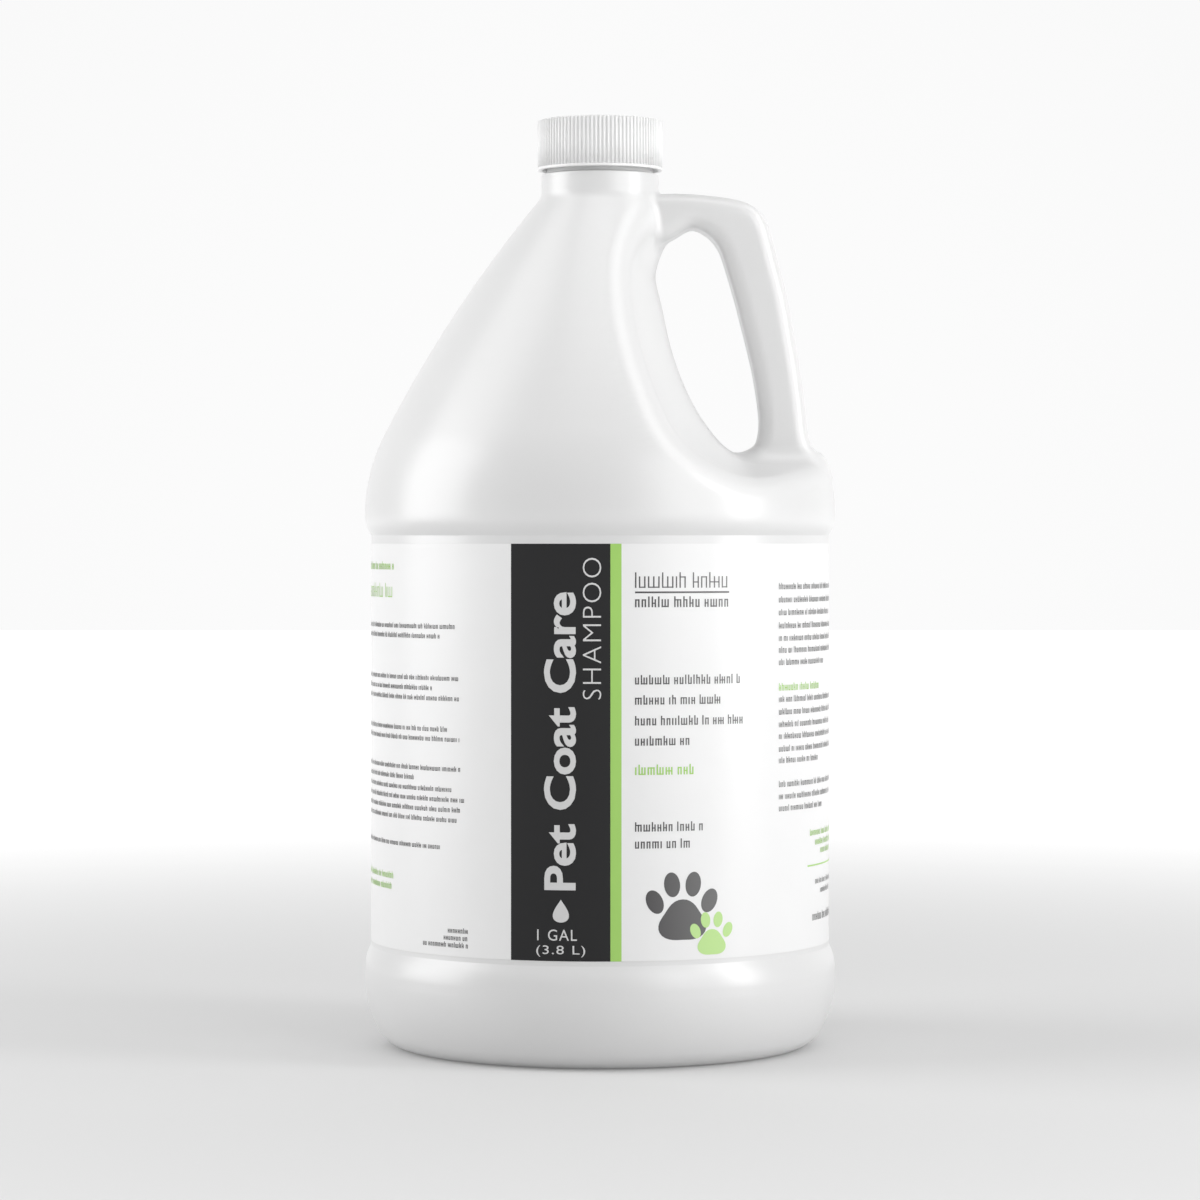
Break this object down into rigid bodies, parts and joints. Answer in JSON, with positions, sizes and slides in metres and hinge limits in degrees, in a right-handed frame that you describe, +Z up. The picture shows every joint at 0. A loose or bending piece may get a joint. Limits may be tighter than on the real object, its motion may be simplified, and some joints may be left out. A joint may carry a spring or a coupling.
{
  "type": "shampoo bottle",
  "caption": "Large round white plastic shampoo jug with a hollow grip handle cut into one shoulder, a ribbed screw cap and a wrap-around printed film label.",
  "frame": {"origin": "centre of the base, on the plane that the bottle stands on", "axes": "+Z up through the neck, +X towards the handle, Y = 0 is the mould's parting plane"},
  "size_m": [0.1554, 0.1554, 0.3054],
  "materials": {
    "bottle_plastic": "satin",
    "cap_plastic": "satin",
    "liner_foam": "matte",
    "label_film": "satin"
  },
  "bodies": {
    "bottle": {"bottle": "bottle_plastic", "wrap_label": "label_film"},
    "liner": {"cap_liner": "liner_foam"},
    "cap": {"cap": "cap_plastic"}
  },
  "joints": [
    {"name": "cap_rise", "type": "slide", "parent": "bottle", "child": "liner", "axis": [0, 0, 1], "range_m": [0, 0.017]},
    {"name": "cap_turn", "type": "hinge", "parent": "liner", "child": "cap", "pos_m": [0, 0, 0.297], "axis": [0, 0, 1], "range_deg": [0, 1440]}
  ],
  "couplings": [
    {"joint": "cap_rise", "follows": "cap_turn", "m_per_rad": 0.00067376}
  ]
}
